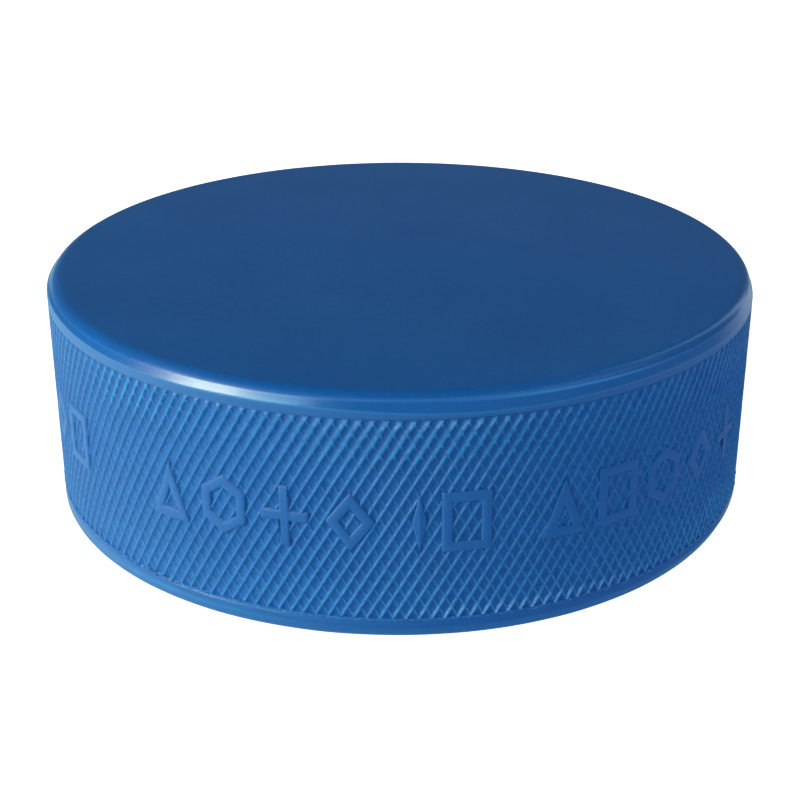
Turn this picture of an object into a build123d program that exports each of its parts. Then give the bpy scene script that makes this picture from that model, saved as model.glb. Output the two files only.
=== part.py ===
from build123d import *
import math
import os

# A hockey puck: one solid disc of vulcanised rubber with flat faces, rounded edges
# and a diamond-knurled grip band round its side. The disc, the band, the raised
# marks on the band and the bead of moulding flash under it are regions of one
# moulding. Each is a solid of its own here, and they meet face to face.
# Millimetres, +Z up, origin at the centre of the bottom face. -Y is the front.

# Driving dimensions of the disc
diameter = 76.2          # 3 inches
thickness = 25.4         # 1 inch
edge_radius = 1.7        # rounding between each flat face and the side
shoulder_height = 0.6    # smooth upright strip between the rounding and the band

# Grip band
band_depth = 1.2         # how far the band's solid reaches into the disc
knurl_relief = 0.17      # ridge crest to pocket floor; the crests are flush with the disc

# Bead of moulding flash along the band's lower edge
flash_height = 0.3
flash_depth = 0.25       # from the band's surface inwards
flash_proud = 0.05       # beyond the disc's radius

# Raised marks: plain geometric outlines in a row round the side
mark_height = 6.2
mark_width = 4.8
mark_stroke = 1.1
mark_proud = 0.05        # beyond the ridge crests
lozenge_width = 1.5      # the one narrow, filled mark
mark_rows = 2            # the same row at the front and at the back

# One row: arc position of a group's first mark from the row's middle, the spacing
# of its marks, and the marks
mark_groups = (
    (-45.3, 6.1, ("rhombus", "box")),
    (-23.3, 6.25, ("triangle", "hexagon", "cross", "rhombus")),
    (1.8, 4.4, ("lozenge", "box")),
    (15.8, 6.1, ("triangle", "box", "hexagon", "rhombus", "cross")),
)

# Worked out from the driving dimensions
radius = diameter / 2
band_bottom = edge_radius + shoulder_height
band_top = thickness - band_bottom
band_radius = radius - knurl_relief / 2
mark_radius = radius + mark_proud
cut_margin = 1.0         # how far a cutting or stamping solid runs past its target


def ring(inner, outer, low, high):
    """Plain ring about Z between two radii and two heights."""
    height = high - low
    base = (Align.CENTER, Align.CENTER, Align.MIN)
    tube = Cylinder(outer, height, align=base) - Cylinder(inner, height, align=base)
    return Pos(0, 0, low) * tube


def puck_body():
    """Disc with rounded edges, smooth shoulders and a shallow seat for the band."""
    disc = Cylinder(radius, thickness, align=(Align.CENTER, Align.CENTER, Align.MIN))
    disc = fillet(disc.edges().filter_by(GeomType.CIRCLE), edge_radius)
    return disc - ring(radius - band_depth, radius + cut_margin, band_bottom, band_top)


def knurled_band():
    """Grip band at the knurl's mean surface, rebated below for the flash."""
    band = ring(radius - band_depth, band_radius, band_bottom, band_top)
    rebate_top = band_bottom + flash_height
    return band - ring(band_radius - flash_depth, radius + cut_margin, band_bottom, rebate_top)


def flash_line():
    """Thin half-round bead left by the mould along the band's lower edge."""
    inner = band_radius - flash_depth
    shoulder = radius + flash_proud - flash_height / 2
    low, middle, high = band_bottom, band_bottom + flash_height / 2, band_bottom + flash_height
    outline = Polyline((shoulder, low), (inner, low), (inner, high), (shoulder, high))
    outline += ThreePointArc((shoulder, high), (radius + flash_proud, middle), (shoulder, low))
    return revolve(Plane.XZ * make_face(outline), Axis.Z)


def hollow(face):
    """A filled outline turned into a stroke of even width."""
    return face - offset(face, amount=-mark_stroke, kind=Kind.INTERSECTION)


def mark_face(name):
    """The flat outline of one mark, centred on the origin."""
    half_width, half_height = mark_width / 2, mark_height / 2
    if name == "box":
        return hollow(Rectangle(mark_width, mark_height))
    if name == "triangle":
        corners = (-half_width, -half_height), (half_width, -half_height), (0, half_height)
        return hollow(Polygon(*corners, align=None))
    if name == "hexagon":
        shoulder = mark_height / 4
        right = (half_width, -shoulder), (half_width, shoulder), (0, half_height)
        left = (-half_width, shoulder), (-half_width, -shoulder), (0, -half_height)
        return hollow(Polygon(*right, *left, align=None))
    if name == "cross":
        return Rectangle(mark_width, mark_stroke) + Rectangle(mark_stroke, mark_height)
    half = lozenge_width / 2 if name == "lozenge" else half_width
    rhombus = Polygon((half, 0), (0, half_height), (-half, 0), (0, -half_height), align=None)
    return rhombus if name == "lozenge" else hollow(rhombus)


def mark_plane(angle):
    """Plane just inside the side wall at an angle from the front, facing outwards."""
    outward = Vector(math.sin(angle), -math.cos(angle), 0)
    along = Vector(math.cos(angle), math.sin(angle), 0)
    origin = outward * (band_radius - cut_margin) + Vector(0, 0, thickness / 2)
    return Plane(origin=origin, x_dir=along, z_dir=outward)


def raised_marks():
    """All the marks, each a thin curved pad standing on the band."""
    skin = ring(band_radius, mark_radius, band_bottom, band_top)
    pads = []
    for row in range(mark_rows):
        for start, spacing, names in mark_groups:
            for index, name in enumerate(names):
                angle = (start + index * spacing) / radius + row * 2 * math.pi / mark_rows
                stamp = extrude(mark_plane(angle) * mark_face(name), amount=2 * cut_margin)
                pads += (stamp & skin).solids()
    return Compound(children=pads)


def write_parts():
    """One STEP file for each named region of the puck."""
    os.makedirs("parts", exist_ok=True)
    export_step(puck_body(), "parts/puck_body.step")
    export_step(knurled_band(), "parts/knurled_band.step")
    export_step(flash_line(), "parts/flash_line.step")
    export_step(raised_marks(), "parts/raised_marks.step")


write_parts()
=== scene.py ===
"""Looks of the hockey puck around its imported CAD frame: a blue rubber disc with a knurled band."""
import math

import bmesh
import bpy
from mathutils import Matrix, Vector, noise


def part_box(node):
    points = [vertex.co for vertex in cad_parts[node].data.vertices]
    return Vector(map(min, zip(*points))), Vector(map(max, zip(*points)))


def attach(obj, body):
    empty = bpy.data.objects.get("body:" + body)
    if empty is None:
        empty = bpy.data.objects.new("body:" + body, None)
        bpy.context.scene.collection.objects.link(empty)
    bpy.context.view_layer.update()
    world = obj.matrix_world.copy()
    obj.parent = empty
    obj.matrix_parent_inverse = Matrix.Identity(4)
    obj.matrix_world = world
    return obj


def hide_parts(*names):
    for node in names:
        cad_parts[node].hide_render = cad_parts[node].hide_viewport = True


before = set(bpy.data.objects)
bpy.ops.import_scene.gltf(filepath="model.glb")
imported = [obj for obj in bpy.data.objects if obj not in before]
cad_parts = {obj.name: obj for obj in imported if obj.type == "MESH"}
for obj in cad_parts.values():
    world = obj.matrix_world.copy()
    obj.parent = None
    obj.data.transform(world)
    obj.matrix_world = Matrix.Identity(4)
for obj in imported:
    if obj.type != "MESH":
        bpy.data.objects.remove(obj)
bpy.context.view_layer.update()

MM = 0.001
TURN = 2 * math.pi

# ---------------------------------------------------------------- sizes, from the frame
body_low, body_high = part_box("puck_body")
band_low, band_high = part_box("knurled_band")
mark_low, mark_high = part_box("raised_marks")
radius = body_high.x                 # over the smooth shoulders and the ridge crests
thickness = body_high.z
band_bottom, band_top = band_low.z, band_high.z
middle = thickness / 2
relief = 2 * (radius - band_high.x)  # ridge crest to pocket floor: the CAD's plain band lies midway
floor_radius = radius - relief
mark_height = mark_high.z - mark_low.z
mark_proud = 0.05 * MM               # beyond the ridge crests
mark_radius = radius + mark_proud

band_depth = 1.2 * MM                # how deep the band's solid is set into the disc
flat_radius = radius - 1.67 * MM     # where the flat faces end
rounding_radius = 1.46 * MM          # rounding, bevel and corner between a flat face and the side
bevel_lean = 25                      # how far the bevel faces upwards, in degrees
bevel_bend_radius = 0.8 * MM         # gentler bend between the rounding and the bevel
corner_radius = 0.85 * MM

# Two families of ridges lean 30 degrees either way from upright
ridge_count = 196
ridge_lean = math.radians(30)
sector_count = 7
ridge_pitch = TURN * radius / ridge_count
row_height = ridge_pitch / 2 / math.tan(ridge_lean)
tip_rows = 19                        # steps between the lowest and the highest row of crossings

# Marks: the CAD's rows of outlines, as arc position of the first, spacing and names
mark_width = 4.8 * MM
mark_stroke = 1.1 * MM
lozenge_width = 1.5 * MM
mark_rows = 2
mark_groups = (
    (-45.3, 6.1, ("rhombus", "box")),
    (-23.3, 6.25, ("triangle", "hexagon", "cross", "rhombus")),
    (1.8, 4.4, ("lozenge", "box")),
    (15.8, 6.1, ("triangle", "box", "hexagon", "rhombus", "cross")),
)


# ---------------------------------------------------------------- small helpers
def smooth(low, high, value):
    """0 below low, 1 above high, and an even S between."""
    t = min(max((value - low) / (high - low), 0.0), 1.0)
    return t * t * (3 - 2 * t)


def swell(angle, centre, half_width):
    """1 at a place round the disc, in degrees, falling evenly to 0 half a width away."""
    return 1 - smooth(0, half_width, abs((math.degrees(angle) - centre + 180) % 360 - 180))


def wrap(arc, height, distance):
    """A point by its arc length round the side from the front, height, and distance from the axis."""
    angle = arc / radius
    return Vector((distance * math.sin(angle), -distance * math.cos(angle), height))


def solid_mesh(name, solid):
    """The finished mesh of a closed solid, with its faces turned outwards."""
    bmesh.ops.recalc_face_normals(solid, faces=solid.faces)
    if solid.calc_volume(signed=True) < 0:
        bmesh.ops.reverse_faces(solid, faces=solid.faces)
    mesh = bpy.data.meshes.new(name)
    solid.to_mesh(mesh)
    solid.free()
    return mesh


def add_piece(name, mesh, material, node):
    """Puts a finished mesh in the scene in place of a CAD node, riding on the puck's one body."""
    piece = bpy.data.objects.new(name, mesh)
    bpy.context.collection.objects.link(piece)
    mesh.materials.append(material)
    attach(piece, "root")
    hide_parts(node)


# ---------------------------------------------------------------- node helpers
class Tree:
    """Short calls for the nodes of a material or of the surroundings; below, n stands for one."""

    def __init__(self, tree):
        self.tree = tree

    def link(self, output, target):
        self.tree.links.new(output, target)

    def feed(self, socket, value):
        """Gives a socket a number, a colour or another node's output."""
        if isinstance(value, (int, float)):
            socket.default_value = value
        elif isinstance(value, tuple):
            socket.default_value = (*value, 1)
        else:
            self.link(value, socket)

    def math(self, operation, first, second=0.0):
        node = self.tree.nodes.new("ShaderNodeMath")
        node.operation = operation
        for socket, value in zip(node.inputs, (first, second)):
            self.feed(socket, value)
        return node.outputs["Value"]

    def product(self, first, *others):
        for other in others:
            first = self.math("MULTIPLY", first, other)
        return first

    def larger(self, first, second):
        return self.math("MAXIMUM", first, second)

    def remap(self, value, low, high, to_low, to_high, interpolation="SMOOTHSTEP"):
        """Carries low to to_low and high to to_high, and holds still outside them."""
        node = self.tree.nodes.new("ShaderNodeMapRange")
        node.interpolation_type = interpolation
        ends = {"From Min": low, "From Max": high, "To Min": to_low, "To Max": to_high}
        for key, number in ends.items():
            node.inputs[key].default_value = number
        self.link(value, node.inputs["Value"])
        return node.outputs["Result"]

    def mix(self, factor, first, second, blend="MIX"):
        """Colour between first and second, each a colour or a socket."""
        node = self.tree.nodes.new("ShaderNodeMix")
        node.data_type = "RGBA"
        node.blend_type = blend
        self.feed(node.inputs["Factor"], factor)
        colours = [socket for socket in node.inputs if socket.type == "RGBA"]
        for socket, value in zip(colours, (first, second)):
            self.feed(socket, value)
        return next(socket for socket in node.outputs if socket.type == "RGBA")


class Surface(Tree):
    """A material whose patterns follow the place on the object."""

    def __init__(self, name):
        self.material = bpy.data.materials.new(name)
        self.material.use_nodes = True
        super().__init__(self.material.node_tree)
        self.shader = self.tree.nodes["Principled BSDF"]
        self.place = self.tree.nodes.new("ShaderNodeNewGeometry").outputs["Position"]

    def paint(self, colour, roughness, specular):
        """Joins the colour and the roughness to the shader, and sets how strongly it mirrors."""
        self.feed(self.shader.inputs["Base Color"], colour)
        self.feed(self.shader.inputs["Roughness"], roughness)
        self.shader.inputs["Specular IOR Level"].default_value = specular

    def bump(self, height, distance):
        node = self.tree.nodes.new("ShaderNodeBump")
        node.inputs["Distance"].default_value = distance
        self.link(height, node.inputs["Height"])
        self.link(node.outputs["Normal"], self.shader.inputs["Normal"])

    def noise(self, size, detail=2.0, roughness=0.5):
        """Noise whose blotches are about size metres across, from 0 to 1."""
        node = self.tree.nodes.new("ShaderNodeTexNoise")
        node.inputs["Scale"].default_value = 1 / size
        node.inputs["Detail"].default_value = detail
        node.inputs["Roughness"].default_value = roughness
        self.link(self.place, node.inputs["Vector"])
        return node.outputs["Fac"]

    def axes(self):
        """The place's X, Y and Z, in metres."""
        node = self.tree.nodes.new("ShaderNodeSeparateXYZ")
        self.link(self.place, node.inputs["Vector"])
        return node.outputs["X"], node.outputs["Y"], node.outputs["Z"]

    def from_axis(self):
        """Distance from the disc's axis, in metres."""
        x, y, _ = self.axes()
        return self.math("SQRT", self.math("ADD", self.product(x, x), self.product(y, y)))

    def angle(self):
        """Degrees round the axis from the front, from -180 to 180."""
        x, y, _ = self.axes()
        return self.product(self.math("ARCTAN2", x, self.product(y, -1)), 360 / TURN)

    def lattice(self):
        """Shares of the way from one rising crest, and from one falling crest, to the next."""
        across = self.product(self.angle(), ridge_count / 360)
        offset = 0.25 - 0.5 * middle / row_height
        up = self.math("ADD", self.product(self.axes()[2], 0.5 / row_height), offset)
        rising, falling = self.math("SUBTRACT", across, up), self.math("ADD", across, up)
        return self.math("FRACT", rising), self.math("FRACT", falling)

    def stripe(self, value, centre, half_width, strength):
        """Strength at the centre value, fading to 0 half a width away."""
        away = self.math("ABSOLUTE", self.math("SUBTRACT", value, centre))
        return self.remap(away, 0, half_width, strength, 0)

    def crest_line(self, share, half_width, strength):
        """Strength on a crest, which lies where the share passes from 1 to 0."""
        half_on = self.math("FRACT", self.math("ADD", share, 0.5))
        return self.stripe(half_on, 0.5, half_width, strength)

    def patches(self, angle, places):
        """1 in the middle of each patch, fading to 0 half its width away."""
        total = 0.0
        for centre, half_width in places:
            total = self.larger(self.stripe(angle, centre, half_width, 1.0), total)
        return total

    def swing(self, angle, centre):
        """1 at a place round the disc, falling evenly to 0 at the far side."""
        turned = self.product(self.math("SUBTRACT", angle, centre), TURN / 360)
        return self.math("ADD", self.product(self.math("COSINE", turned), 0.5), 0.5)


# ---------------------------------------------------------------- rubber
blue = (0.008, 0.152, 0.530)
pale_blue = (0.011, 0.172, 0.570)
dust_and_reflection_blue = (0.026, 0.172, 0.530)
deep_blue = (0.006, 0.115, 0.430)
edge_highlight_blue = (0.022, 0.250, 0.660)
crest_highlight_blue = (0.028, 0.285, 0.720)
torn_glint_blue = (0.028, 0.320, 0.780)
spur_highlight_blue = (0.030, 0.380, 0.880)
tip_glint_blue = (0.160, 0.500, 0.950)
crease_highlight_blue = (0.040, 0.360, 0.920)

# Patches round the disc, each as its middle and half width in degrees from the front
upper_patches = ((-42, 19), (5, 32), (110, 25), (-140, 30))  # torn crests with painted glints and their pockets with painted shade, near the top
lower_patches = ((55, 30), (-105, 25), (150, 25))            # and near the foot
high_tip_patches = ((6, 26), (-160, 30), (95, 30))           # crests given painted glints at their upper ends
low_tip_patches = ((20, 30), (-125, 30), (175, 30))          # and at their lower ends
foot_patches = ((-36, 34), (75, 40), (-150, 25))             # painted highlight lines along the lower edge
crease_patches = ((26, 24), (-95, 30), (170, 30))            # and a painted highlight line along the crease above the bevel
front_right = 60                                             # where the crests' painted highlight is palest


def smooth_rubber():
    """Satin rubber as it leaves a polished mould: side walls greyed by dust and a painted reflection, and
    painted highlight lines along the edges.
    """
    n = Surface("smooth_blue_rubber")
    rise, edge, angle = n.axes()[2], n.from_axis(), n.angle()
    above = n.remap(rise, band_top - 0.1 * MM, band_top, 0, 1)
    below = n.remap(rise, band_bottom + 0.1 * MM, band_bottom, 0, 1)

    plain = n.mix(n.remap(n.noise(14 * MM, 3), 0.2, 0.8, 0, 1), blue, pale_blue)
    plain = n.mix(n.remap(n.noise(0.4 * MM, 3, 0.7), 0.35, 0.65, 0.3, 0), plain, deep_blue)
    # Partly dust, partly a painted reflection of grey surroundings: the side wall above the band is greyed
    wall = n.remap(edge, radius - 0.06 * MM, radius - 0.01 * MM, 0, 1)
    wall_dust_and_reflection = n.product(above, wall, n.remap(n.noise(0.8 * MM, 3, 0.7), 0.3, 0.6, 0.5, 1.0))
    coloured = n.mix(wall_dust_and_reflection, plain, dust_and_reflection_blue)

    # Painted highlight: a pale line along the crease above the bevel
    crease = n.stripe(edge, radius - 0.43 * MM, 0.09 * MM, 1.0)
    crease = n.product(crease, n.math("ADD", n.patches(angle, crease_patches), 0.2), above)
    lined = n.mix(crease, coloured, crease_highlight_blue)
    # Painted highlights: a pale line on the corner above the band, and pale lines along the lower edge
    corner = n.product(n.stripe(edge, radius - 0.035 * MM, 0.042 * MM, 0.9), above)
    foot = n.product(n.stripe(rise, 1.45 * MM, 0.5 * MM, 1.0), n.patches(angle, foot_patches))
    foot = n.product(foot, below, n.remap(n.noise(2.5 * MM, 3), 0.3, 0.6, 0.5, 1.0))
    colour = n.mix(n.larger(corner, foot), lined, edge_highlight_blue)

    on_marks = n.math("SUBTRACT", 1.0, n.larger(above, below))
    duller = n.larger(n.product(wall_dust_and_reflection, 0.2), n.product(on_marks, 0.34))
    roughness = n.math("ADD", n.remap(n.noise(0.5 * MM, 3), 0.3, 0.7, 0.22, 0.26), duller)
    n.paint(colour, roughness, specular=0.2)
    n.bump(n.noise(0.6 * MM, 1), 0.001 * MM)
    return n.material


def knurl_rubber():
    """The band's rubber: duller, with painted highlights on the crests, and painted glints and shade in
    patches along its ends.
    """
    n = Surface("knurled_blue_rubber")
    rising, falling = n.lattice()
    rise, angle = n.axes()[2], n.angle()
    right = n.swing(angle, front_right)
    from_middle = n.math("ABSOLUTE", n.math("SUBTRACT", rise, middle))

    # Patches of painted glints and shade have a ragged border
    ragged = n.math("ADD", rise, n.remap(n.noise(4 * MM, 2), 0, 1, -2 * MM, 2 * MM))
    upper = n.product(n.patches(angle, upper_patches), n.remap(ragged, 17.2 * MM, 20 * MM, 0, 1))
    lower = n.product(n.patches(angle, lower_patches), n.remap(ragged, 8 * MM, 4.5 * MM, 0, 1))
    torn = n.larger(upper, lower)

    plain = n.mix(n.remap(n.noise(6 * MM, 4), 0.35, 0.65, 0, 1), blue, pale_blue)
    plain = n.mix(n.remap(n.noise(0.5 * MM, 3, 0.7), 0.35, 0.62, 0.85, 0), plain, deep_blue)
    # Painted shade: pockets darker in the torn patches
    plain = n.mix(n.product(torn, 0.6), plain, deep_blue)

    # Falling crests get a painted highlight where they end and, away from the top, more and more towards
    # the front right
    crossing = n.product(n.remap(right, 0.46, 0.85, 0.4, 1.1), n.remap(rise, 15 * MM, 19.5 * MM, 1, 0.3))
    crossing = n.larger(n.remap(from_middle, 9.5 * MM, 10.1 * MM, 0, 1.2), crossing)
    crossing = n.product(crossing, n.crest_line(falling, 0.16, 1.0))

    # Rising crests get a painted highlight all round, fainter on the left, with wavering borders
    wavering = n.math("ADD", rising, n.remap(n.noise(0.5 * MM, 3, 0.7), 0.2, 0.8, -0.07, 0.07))
    crests = n.product(n.crest_line(wavering, 0.25, 1.0), n.remap(right, 0.2, 0.5, 0.4, 1.0))
    crests = n.product(n.larger(crests, crossing), n.remap(from_middle, 3.5 * MM, 8.5 * MM, 0.5, 0.88))
    # Painted glints: wide pale crests in the torn patches
    wide = n.product(n.crest_line(wavering, 0.28, 1.1), torn)

    speckled = n.remap(n.noise(0.45 * MM, 3, 0.7), 0.32, 0.62, 0.45, 1.1)
    speckled = n.product(speckled, n.remap(from_middle, 10.1 * MM, 10.35 * MM, 1, 0.1))
    # Painted highlight on the crests, speckled
    painted_crest_light = n.product(n.larger(crests, wide), speckled)
    colour = n.mix(painted_crest_light, plain, n.mix(torn, crest_highlight_blue, torn_glint_blue))

    # Painted highlights on short spurs to the right of a torn crest, and painted glints on bright ridge
    # ends
    spurs = n.product(n.crest_line(falling, 0.17, 1.0), n.remap(rising, 0.18, 0.46, 1, 0))
    colour = n.mix(n.product(spurs, torn, speckled), colour, spur_highlight_blue)
    low_end = n.remap(rise, band_bottom + 1.8 * MM, band_bottom + 0.9 * MM, 0, 1.4)
    high_end = n.remap(rise, band_top - 1.4 * MM, band_top - 0.6 * MM, 0, 0.8)
    low_tips = n.product(low_end, n.patches(angle, low_tip_patches))
    high_tips = n.product(high_end, n.patches(angle, high_tip_patches))
    tips = n.product(n.larger(low_tips, high_tips), n.crest_line(wavering, 0.24, 1.0), speckled)
    colour = n.mix(tips, colour, tip_glint_blue)

    n.paint(colour, n.remap(n.noise(0.4 * MM, 3), 0.3, 0.7, 0.42, 0.54), specular=0.15)
    n.bump(n.noise(0.30 * MM, 1), 0.008 * MM)
    return n.material


def flash_rubber():
    """Torn flash: grey with dust, with specks of pale fresh rubber that also stand in for its sparkle as
    painted glints.
    """
    n = Surface("flash_blue_rubber")
    dull = n.mix(n.remap(n.noise(1.5 * MM, 3), 0.3, 0.7, 0, 1), blue, dust_and_reflection_blue)
    # Pale specks: partly fresh rubber, partly painted glints
    specks = n.remap(n.noise(0.35 * MM, 3, 0.7), 0.50, 0.66, 0, 1)
    roughness = n.remap(n.noise(0.3 * MM, 2), 0.3, 0.7, 0.35, 0.55)
    n.paint(n.mix(specks, dull, torn_glint_blue), roughness, specular=0.15)
    n.bump(n.noise(0.15 * MM, 1), 0.010 * MM)
    return n.material


# ---------------------------------------------------------------- the disc
lathe_steps = 392


def edge_profile():
    """The upper edge from the flat face to the side wall, as (distance, height).

    A rounding runs into a narrow bevel, and a softened corner ends it on the side wall."""
    across, up = flat_radius, thickness
    points = [(across, up)]

    def arc(lean_from, lean_to, size):
        """Adds a round stretch; lean is how far the surface faces upwards, in degrees."""
        nonlocal across, up
        start = math.radians(lean_from)
        middle_across, middle_up = across - size * math.cos(start), up - size * math.sin(start)
        steps = max(3, round((lean_from - lean_to) / 3))
        for i in range(1, steps + 1):
            lean = math.radians(lean_from + (lean_to - lean_from) * i / steps)
            across, up = middle_across + size * math.cos(lean), middle_up + size * math.sin(lean)
            points.append((across, up))

    bevel = math.radians(bevel_lean)
    arc(90, bevel_lean + 11, rounding_radius)
    arc(bevel_lean + 11, bevel_lean, bevel_bend_radius)
    length = (radius - across - corner_radius * (1 - math.cos(bevel))) / math.sin(bevel)
    for _ in range(3):
        across, up = across + length / 3 * math.sin(bevel), up - length / 3 * math.cos(bevel)
        points.append((across, up))
    arc(bevel_lean, 0, corner_radius)
    return points


def disc_profile():
    """The disc's outline from the middle of the bottom face to the middle of the top face."""
    rings = 14
    lip = 0.08 * MM
    seat = radius - band_depth
    upper = [(flat_radius * i / rings, thickness) for i in range(rings)] + edge_profile()
    upper += [(radius, band_top + lip), (radius - lip / 3, band_top + lip / 3), (radius - lip, band_top)]
    upper.append((seat, band_top))
    lower = [(across, thickness - up) for across, up in upper]
    return lower + upper[::-1]


def corner_wander(angle):
    """How far the upper edge's corner sits above its mean height, round the disc."""
    ripple = 0.09 * math.cos(6 * (angle + math.radians(16))) + 0.13 * math.cos(angle + math.radians(75))
    return (ripple + 0.26 * swell(angle, -72, 75) - 0.20 * swell(angle, 10, 26)) * MM


def foot_fill(angle, across, up):
    """How far the lower edge's rounding is pushed out and down: it is fuller on one side of the disc."""
    along = smooth(flat_radius, flat_radius + 0.6 * MM, across) * (1 - smooth(0.9 * MM, 1.7 * MM, up))
    return 0.34 * MM * along * swell(angle, -70, 80)


def disc_point(angle, across, up):
    """A point of the disc's outline, turned to an angle and moved by the moulding's unevenness."""
    fill = foot_fill(angle, across, up)
    place = wrap(angle * radius, max(up - 0.4 * fill, 0), min(across + 0.9 * fill, radius))
    on_edge = across < radius - 0.01 * MM
    uneven = 0.010 * MM * smooth(radius - 2.4 * MM, radius - 1.2 * MM, across) * on_edge
    place += noise.noise_vector(place / (4 * MM)) * uneven
    above_band = up > band_top + 0.3 * MM
    wander = corner_wander(angle) * smooth(0.5 * MM, 1.6 * MM, thickness - up) * above_band
    place.z = min(max(place.z, 0), thickness)
    place.z += wander
    return place


def disc_mesh():
    """Closed solid of revolution: its outline starts and ends on the axis."""
    profile = disc_profile()
    steps = lathe_steps
    vertices = [Vector((0, 0, profile[0][1])), Vector((0, 0, profile[-1][1]))]
    rings = profile[1:-1]
    for across, up in rings:
        vertices += [disc_point(TURN * i / steps, across, up) for i in range(steps)]
    faces = []
    for j in range(len(rings) - 1):
        here, above = 2 + j * steps, 2 + (j + 1) * steps
        for i in range(steps):
            after = (i + 1) % steps
            faces.append((here + i, here + after, above + after, above + i))
    last = 2 + (len(rings) - 1) * steps
    faces += [(0, 2 + (i + 1) % steps, 2 + i) for i in range(steps)]
    faces += [(1, last + i, last + (i + 1) % steps) for i in range(steps)]
    mesh = bpy.data.meshes.new("puck_disc")
    mesh.from_pydata(vertices, [], faces)
    mesh.shade_smooth()
    return mesh


# ---------------------------------------------------------------- the knurled band
# Shares of the way from one crest to the next: where the mesh is cut, and how far from a crest's
# middle its flat top ends and the pocket's floor begins
section_cuts = (0, 0.06, 0.13, 0.22, 0.5, 0.78, 0.87, 0.94)
rising_crest, rising_foot = 0.045, 0.185
falling_crest, falling_foot = 0.035, 0.165


def flat_sector():
    """One sector of the lattice laid flat as (arc, height): every mesh line follows a ridge."""
    flat = bmesh.new()
    cuts = len(section_cuts)
    width = 2 * (ridge_count // sector_count)
    known = {}

    def corner(i, j):
        if (i, j) not in known:
            a = i // cuts + section_cuts[i % cuts]
            b = j // cuts + section_cuts[j % cuts]
            height = middle + row_height * (a - b - 0.5)
            known[i, j] = flat.verts.new((ridge_pitch / 2 * (a + b), 0, height))
        return known[i, j]

    for total in range(-1, width + 2):
        for rise in range(-tip_rows, tip_rows + 1):
            if (total + rise) % 2 or abs(rise) > tip_rows / 2 + 2:
                continue
            a, b = (total + rise) // 2, (total - rise) // 2
            for i in range(a * cuts, (a + 1) * cuts):
                for j in range(b * cuts, (b + 1) * cuts):
                    around = ((i, j), (i + 1, j), (i + 1, j + 1), (i, j + 1))
                    flat.faces.new([corner(*place) for place in around])
    end = ridge_pitch / 2 * width
    for place, outward in (((0, 0, 0), (-1, 0, 0)), ((end, 0, 0), (1, 0, 0)),
                           ((0, 0, band_bottom), (0, 0, -1)), ((0, 0, band_top), (0, 0, 1))):
        everything = flat.verts[:] + flat.edges[:] + flat.faces[:]
        bmesh.ops.bisect_plane(flat, geom=everything, dist=1e-8, plane_co=place, plane_no=outward,
                               clear_outer=True)
    bmesh.ops.triangulate(flat, faces=[f for f in flat.faces if len(f.verts) > 4])
    return flat, end


def ridge(share, crest, foot):
    """Height of one family of ridges, 1 on a crest and 0 on a pocket floor."""
    away = abs(share - round(share))
    return 1 - smooth(crest, foot, away)


def knurl_point(arc, height):
    """A point on the knurl's surface: ridges that rise to the right stand over ones that fall."""
    up = (height - middle) / row_height / 2 + 0.25
    across = arc / ridge_pitch
    place = wrap(arc, height, radius)
    torn = smooth(17.5 * MM, 20.5 * MM, height + 1.5 * MM * noise.noise(place / (9 * MM)))

    rising = ridge(across - up, rising_crest + 0.05 * torn, rising_foot + 0.09 * torn)
    rising *= 0.96 + 0.10 * noise.noise(place / (2.2 * MM))

    # A falling ridge is low, lowest near the top; among torn crests it is a spur beside a rising one
    falling_shape = ridge(across + up, falling_crest, falling_foot)
    even = 0.18 + 0.20 * (1 - smooth(15 * MM, 19 * MM, height))
    spur = 0.80 - 0.74 * smooth(0.12, 0.44, (across - up) % 1)
    falling = falling_shape * (even + (spur - even) * torn)
    falling += falling_shape * 0.12 * noise.noise(place / (1.7 * MM) + Vector((7, 3, 5)))

    # Near the band's ends both families meet in pointed tips, and then run out
    from_end = min(height - band_bottom, band_top - height)
    near_end = 1 - smooth(0.35 * MM, 0.95 * MM, from_end)
    falling += (0.8 * falling_shape - falling) * near_end
    lifted = 1 - (1 - rising) * (1 - falling)
    lifted *= 0.15 + 0.85 * smooth(0.04 * MM, 0.36 * MM, from_end)
    grit = (0.010 + 0.010 * torn) * MM * noise.noise(place / (0.25 * MM))
    return wrap(arc, height, floor_radius + relief * lifted + grit)


def stitch(solid, first, second):
    """Fills the strip between two rows of (position, vertex) pairs that run side by side."""
    i = j = 0
    while i + 1 < len(first) or j + 1 < len(second):
        if j + 1 == len(second) or (i + 1 < len(first) and first[i + 1][0] <= second[j + 1][0]):
            solid.faces.new((first[i][1], second[j][1], first[i + 1][1]))
            i += 1
        else:
            solid.faces.new((first[i][1], second[j][1], second[j + 1][1]))
            j += 1


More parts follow.
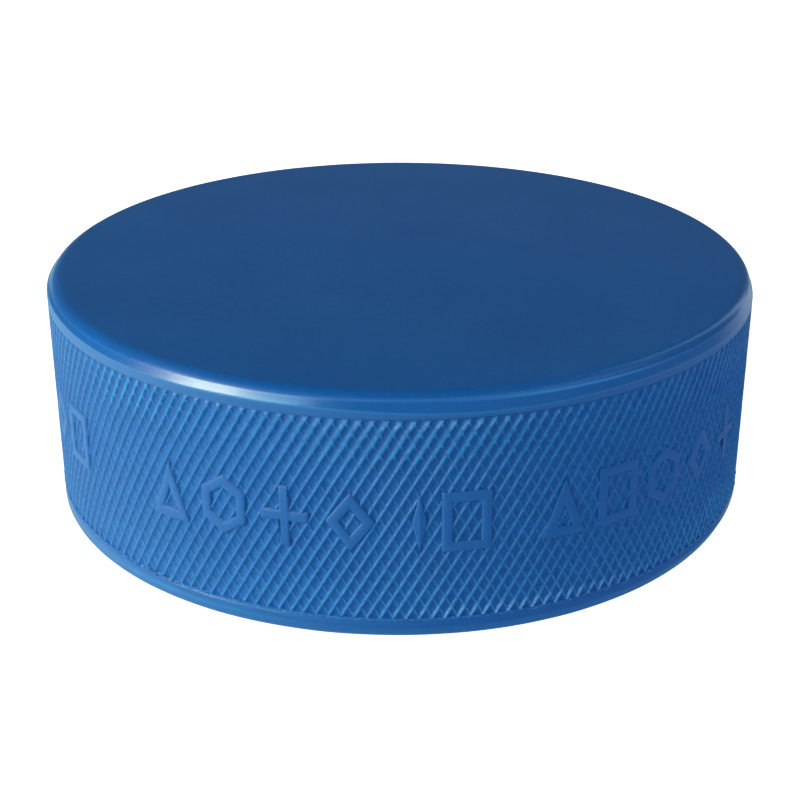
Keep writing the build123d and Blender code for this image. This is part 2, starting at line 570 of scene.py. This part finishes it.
def sector_mesh(name, flat, arc_start, arc_end):
    """A closed solid: the knurled surface, four flat sides and a plain back."""
    solid = flat.copy()
    near = 1e-7
    width = arc_end - arc_start
    edges = {"left": [], "right": [], "bottom": [], "top": []}
    for v in solid.verts:
        arc, height = v.co.x, v.co.z
        if arc < near:
            edges["left"].append((height, v))
        if arc > width - near:
            edges["right"].append((height, v))
        if height < band_bottom + near:
            edges["bottom"].append((arc, v))
        if height > band_top - near:
            edges["top"].append((arc, v))
    for found in edges.values():
        found.sort(key=lambda pair: pair[0])
    for v in solid.verts:
        v.co = knurl_point(arc_start + v.co.x, v.co.z)
    for f in solid.faces:
        f.smooth = True
    seat = radius - band_depth
    columns, rows = ridge_count // sector_count, tip_rows + 1
    arcs = [width * i / columns for i in range(columns + 1)]
    heights = [band_bottom + (band_top - band_bottom) * j / rows for j in range(rows + 1)]
    back = [[solid.verts.new(wrap(arc_start + arc, height, seat)) for height in heights] for arc in arcs]
    for i in range(columns):
        for j in range(rows):
            solid.faces.new((back[i][j], back[i][j + 1], back[i + 1][j + 1], back[i + 1][j]))
    back_edges = {
        "left": list(zip(heights, back[0])),
        "right": list(zip(heights, back[-1])),
        "bottom": [(arc, column[0]) for arc, column in zip(arcs, back)],
        "top": [(arc, column[-1]) for arc, column in zip(arcs, back)],
    }
    for side, front in edges.items():
        stitch(solid, front, back_edges[side])
        for first, second in zip(front, front[1:]):
            solid.edges.get((first[1], second[1])).smooth = False
    return solid_mesh(name, solid)


# ---------------------------------------------------------------- marks
def mark_corners(name):
    """Corners of one mark's outer outline, anticlockwise, about its middle."""
    x, z = mark_width / 2, mark_height / 2
    if name == "box":
        return [(-x, -z), (x, -z), (x, z), (-x, z)]
    if name == "triangle":
        return [(-x, -z), (x, -z), (0, z)]
    if name == "hexagon":
        return [(0, -z), (x, -z / 2), (x, z / 2), (0, z), (-x, z / 2), (-x, -z / 2)]
    if name == "cross":
        s = mark_stroke / 2
        right = [(s, -z), (s, -s), (x, -s), (x, s), (s, s), (s, z)]
        left = [(-s, z), (-s, s), (-x, s), (-x, -s), (-s, -s)]
        return [(-s, -z)] + right + left
    if name == "lozenge":
        x = lozenge_width / 2
    return [(0, -z), (x, 0), (0, z), (-x, 0)]


def inset(corners, distance):
    """The outline moved inwards by a distance, with mitred corners."""
    moved = []
    for i, here in enumerate(corners):
        before, after = Vector(corners[i - 1]), Vector(corners[(i + 1) % len(corners)])
        here = Vector(here)
        into, out = (here - before).normalized(), (after - here).normalized()
        side_in, side_out = Vector((-into.y, into.x)), Vector((-out.y, out.x))
        bisector = (side_in + side_out).normalized()
        moved.append(here + bisector * (distance / bisector.dot(side_in)))
    return moved


def divided(corners, counts):
    """The outline with each side cut into its count of equal pieces."""
    points = []
    for i, count in enumerate(counts):
        start, end = corners[i], corners[(i + 1) % len(corners)]
        points += [start.lerp(end, k / count) for k in range(count)]
    return points


def add_mark(solid, name, arc):
    """One pad with soft edges, wrapped on the side wall with its middle at an arc position."""
    corners = mark_corners(name)
    side_step = 0.3 * MM
    counts = []
    for i, here in enumerate(corners):
        length = (Vector(corners[(i + 1) % len(corners)]) - Vector(here)).length
        counts.append(max(2, round(length / side_step)))

    # The pad's wall in section, as (distance inwards, height above the pockets' floor)
    height = mark_radius - floor_radius
    soft = 0.20 * MM
    eighth = soft * 0.29             # in and down from the corner at the middle of its rounding
    draft = 0.03 * MM
    buried = -0.1 * MM
    rise = [(-draft, buried), (-draft / 2, height / 2), (0.0, height - soft)]
    rise += [(eighth, height - eighth), (soft, height)]
    filled = name in ("cross", "lozenge")
    section = rise if filled else rise + [(mark_stroke - t, h) for t, h in reversed(rise)]

    loops = []
    for t, h in section:
        points = divided(inset(corners, t), counts)
        ring = [solid.verts.new(wrap(arc + p.x, middle + p.y, floor_radius + h)) for p in points]
        loops.append(ring)
    pairs = list(zip(loops, loops[1:])) + ([] if filled else [(loops[-1], loops[0])])
    for first, second in pairs:
        for k in range(len(first)):
            after = (k + 1) % len(first)
            solid.faces.new((first[k], first[after], second[after], second[k]))
    if filled:
        caps = [solid.faces.new(loops[-1]), solid.faces.new(loops[0][::-1])]
        bmesh.ops.triangulate(solid, faces=caps)


def marks_mesh():
    """All the pads: the same row at the front and at the back."""
    solid = bmesh.new()
    for row in range(mark_rows):
        for start, spacing, names in mark_groups:
            for index, name in enumerate(names):
                arc = (start + index * spacing) * MM + row * TURN * radius / mark_rows
                add_mark(solid, name, arc)
    for f in solid.faces:
        f.smooth = True
    return solid_mesh("raised_marks", solid)


# ---------------------------------------------------------------- moulding flash
def flash_mesh():
    """Bead of flash along the band's lower edge, here a thin clean line and there torn ragged."""
    steps = 1600
    limit = radius + 0.1 * MM
    section = ((-0.25, 0.0), (-0.02, 0.0), (0.03, 0.12), (0.0, 0.24), (-0.12, 0.32), (-0.25, 0.32))
    count = len(section)
    vertices, faces = [], []
    for i in range(steps):
        arc = TURN * radius * i / steps
        torn = smooth(-0.15, 0.25, noise.noise(wrap(arc, 0, radius) / (11 * MM)))
        for out, up in section:
            place = wrap(arc, band_bottom + up * MM, radius + out * MM)
            outer = out > -0.2
            shake = noise.noise_vector(place / (0.28 * MM)) * ((0.03 + 0.10 * torn) * MM * outer)
            bulge = (0.03 + 0.07 * torn) * MM * noise.noise(place / (0.9 * MM)) * outer
            moved = place + shake + Vector((place.x, place.y, 0)).normalized() * bulge
            away = math.hypot(moved.x, moved.y)
            if away > limit:
                moved.x *= limit / away
                moved.y *= limit / away
            vertices.append(moved)
        here, after = i * count, (i + 1) % steps * count
        for k in range(count):
            beside = (k + 1) % count
            faces.append((here + k, after + k, after + beside, here + beside))
    mesh = bpy.data.meshes.new("flash_line")
    mesh.from_pydata(vertices, [], faces)
    return mesh


# ---------------------------------------------------------------- stage, lights, camera
def add_floor():
    """Plain pale floor."""
    half = 1.5
    gap = -0.02 * MM  # keeps it clear of the puck's flat face
    mesh = bpy.data.meshes.new("floor")
    corners = [(-half, -half, gap), (half, -half, gap), (half, half, gap), (-half, half, gap)]
    mesh.from_pydata(corners, [], [(0, 1, 2, 3)])
    floor = bpy.data.objects.new("floor", mesh)
    bpy.context.collection.objects.link(floor)
    n = Surface("floor_white")
    n.paint(n.mix(n.noise(0.2, 2), (0.80, 0.80, 0.80), (0.83, 0.83, 0.83)), 0.9, specular=0.1)
    n.shader.inputs["Emission Color"].default_value = (1, 1, 1, 1)
    n.shader.inputs["Emission Strength"].default_value = 1.0
    mesh.materials.append(n.material)
    floor.visible_diffuse = False
    floor.visible_glossy = False
    floor.visible_shadow = False


def height_bands(n, height, stops):
    """Brightness by the height of a direction, from -1 straight down to 1 straight up."""
    node = n.tree.nodes.new("ShaderNodeValToRGB")
    n.link(n.remap(height, -1, 1, 0, 1, "LINEAR"), node.inputs["Fac"])
    ramp = node.color_ramp
    while len(ramp.elements) < len(stops):
        ramp.elements.new(0.5)
    for element, (stop, level) in zip(ramp.elements, stops):
        element.position = (stop + 1) / 2
        element.color = (level, level, level, 1)
    return node.outputs["Color"]


def add_world():
    """Soft surroundings, brighter to the left; the camera itself sees plain white behind the floor."""
    world = bpy.data.worlds.new("studio")
    bpy.context.scene.world = world
    world.use_nodes = True
    n = Tree(world.node_tree)
    direction = n.tree.nodes.new("ShaderNodeSeparateXYZ")
    n.link(n.tree.nodes.new("ShaderNodeTexCoord").outputs["Generated"], direction.inputs["Vector"])
    x, y, z = direction.outputs
    ray = n.tree.nodes.new("ShaderNodeLightPath").outputs
    right, far_right = n.remap(x, -0.7, 0.7, 0, 1), n.remap(x, -1.0, 0.5, 0, 1)
    back, up = n.remap(y, -0.7, 0.7, 0, 1), n.remap(z, -0.03, 0.03, 0, 1)

    def surroundings(table_front, table_back, sky_front, sky_back):
        return n.mix(up, n.mix(back, table_front, table_back), n.mix(back, sky_front, sky_back))

    # Light that falls on the puck, each table as its left and right colours
    front_table = n.mix(right, (0.60, 0.62, 0.62), (0.45, 0.42, 0.47))
    back_table = n.mix(right, (3.40, 3.80, 2.75), (1.10, 0.66, 0.74))
    shed = surroundings(front_table, back_table, (0.41, 0.40, 0.42), (0.00, 0.00, 0.00))

    # What the puck mirrors: in front a lit strip of table and a high strip of ceiling
    strips = height_bands(n, z, (
        (-1.0, 0.3), (-0.6, 0.5), (-0.41, 1.0), (-0.20, 1.5), (-0.05, 1.2), (0.02, 0.8),
        (0.40, 0.05), (0.58, 0.1), (0.67, 1.6), (0.78, 1.6), (0.87, 0.2), (1.0, 0.05)))
    front_table = n.mix(1.0, n.mix(far_right, (2.20, 3.00, 1.50), (0.50, 0.15, 0.40)), strips, "MULTIPLY")
    back_table = n.mix(far_right, (0.66, 0.82, 0.62), (0.12, 0.26, 0.29))
    ceiling = n.mix(1.0, (1.75, 2.05, 2.25), strips, "MULTIPLY")
    mirrored = surroundings(front_table, back_table, ceiling, (0.13, 0.15, 0.145))

    seen = n.mix(ray["Is Camera Ray"], n.mix(ray["Is Glossy Ray"], shed, mirrored), (1.0, 1.0, 1.0))
    n.link(seen, n.tree.nodes["Background"].inputs["Color"])


def away_from(azimuth, elevation):
    """Unit direction from the puck; azimuth is in degrees from +Y towards +X."""
    a, e = math.radians(azimuth), math.radians(elevation)
    return Vector((math.sin(a) * math.cos(e), math.cos(a) * math.cos(e), math.sin(e)))


def add_area(name, azimuth, elevation, distance, width, height, power, colour=(1, 1, 1),
             diffuse=True, glossy=True):
    """A soft rectangular light aimed at the puck; it may light only dull or only glossy surfaces."""
    lamp = bpy.data.lights.new(name, "AREA")
    lamp.shape = "RECTANGLE"
    lamp.size, lamp.size_y = width, height
    lamp.energy = power
    lamp.color = colour
    light = bpy.data.objects.new(name, lamp)
    bpy.context.collection.objects.link(light)
    away = away_from(azimuth, elevation)
    light.location = Vector((0, 0, middle)) + away * distance
    light.rotation_mode = "QUATERNION"
    light.rotation_quaternion = away.to_track_quat("Z", "Y")
    light.visible_diffuse = diffuse
    light.visible_glossy = glossy


def add_lights():
    """A window to the left, its glint on the bevel, and faint light from the right."""
    far = 0.7
    add_area("key_window", -110, 24, far, 0.40, 0.40, 2.4, (0.96, 1.0, 0.96))
    add_area("window_glint", -118.5, 23.5, far, 0.24, 0.30, 10.6, (0.90, 1.0, 0.74), diffuse=False)
    add_area("glint_tail", -140.5, 23.5, far, 0.20, 0.30, 4.6, (0.55, 1.0, 0.95), diffuse=False)
    add_area("right_fill", 90, 30, 0.8, 0.5, 0.5, 0.52, (1.0, 0.94, 0.90), glossy=False)
    add_area("right_glint", 45, 26, far, 0.10, 0.76, 0.55, (0.6, 0.85, 1.0), diffuse=False)
    add_area("right_table", 56, -8, far, 0.26, 0.24, 0.11, diffuse=False)
    add_area("far_table", 38, -15, far, 0.24, 0.28, 0.12, diffuse=False)


def add_camera():
    """At the height and distance a person holds a camera to a puck on a table."""
    elevation, distance = math.radians(22.91), 178.1 * MM
    aim = Vector((0, 0, 7.85 * MM))
    data = bpy.data.cameras.new("camera")
    data.sensor_width = 36
    data.lens = 70.9
    data.clip_start, data.clip_end = 0.01, 20
    camera = bpy.data.objects.new("camera", data)
    bpy.context.collection.objects.link(camera)
    camera.location = Vector((0, -distance * math.cos(elevation), middle + distance * math.sin(elevation)))
    camera.rotation_mode = "QUATERNION"
    camera.rotation_quaternion = (camera.location - aim).to_track_quat("Z", "Y")
    bpy.context.scene.camera = camera


# ---------------------------------------------------------------- build
smooth_material = smooth_rubber()
knurl_material = knurl_rubber()

add_piece("puck_disc", disc_mesh(), smooth_material, "puck_body")

flat, sector_width = flat_sector()
for index in range(sector_count):
    name = f"knurled_band_{index + 1}"
    mesh = sector_mesh(name, flat, index * sector_width, (index + 1) * sector_width)
    add_piece(name, mesh, knurl_material, "knurled_band")
flat.free()

add_piece("raised_pads", marks_mesh(), smooth_material, "raised_marks")
add_piece("moulding_flash", flash_mesh(), flash_rubber(), "flash_line")

add_floor()
add_world()
add_camera()
add_lights()
bpy.context.scene.view_settings.view_transform = "Standard"
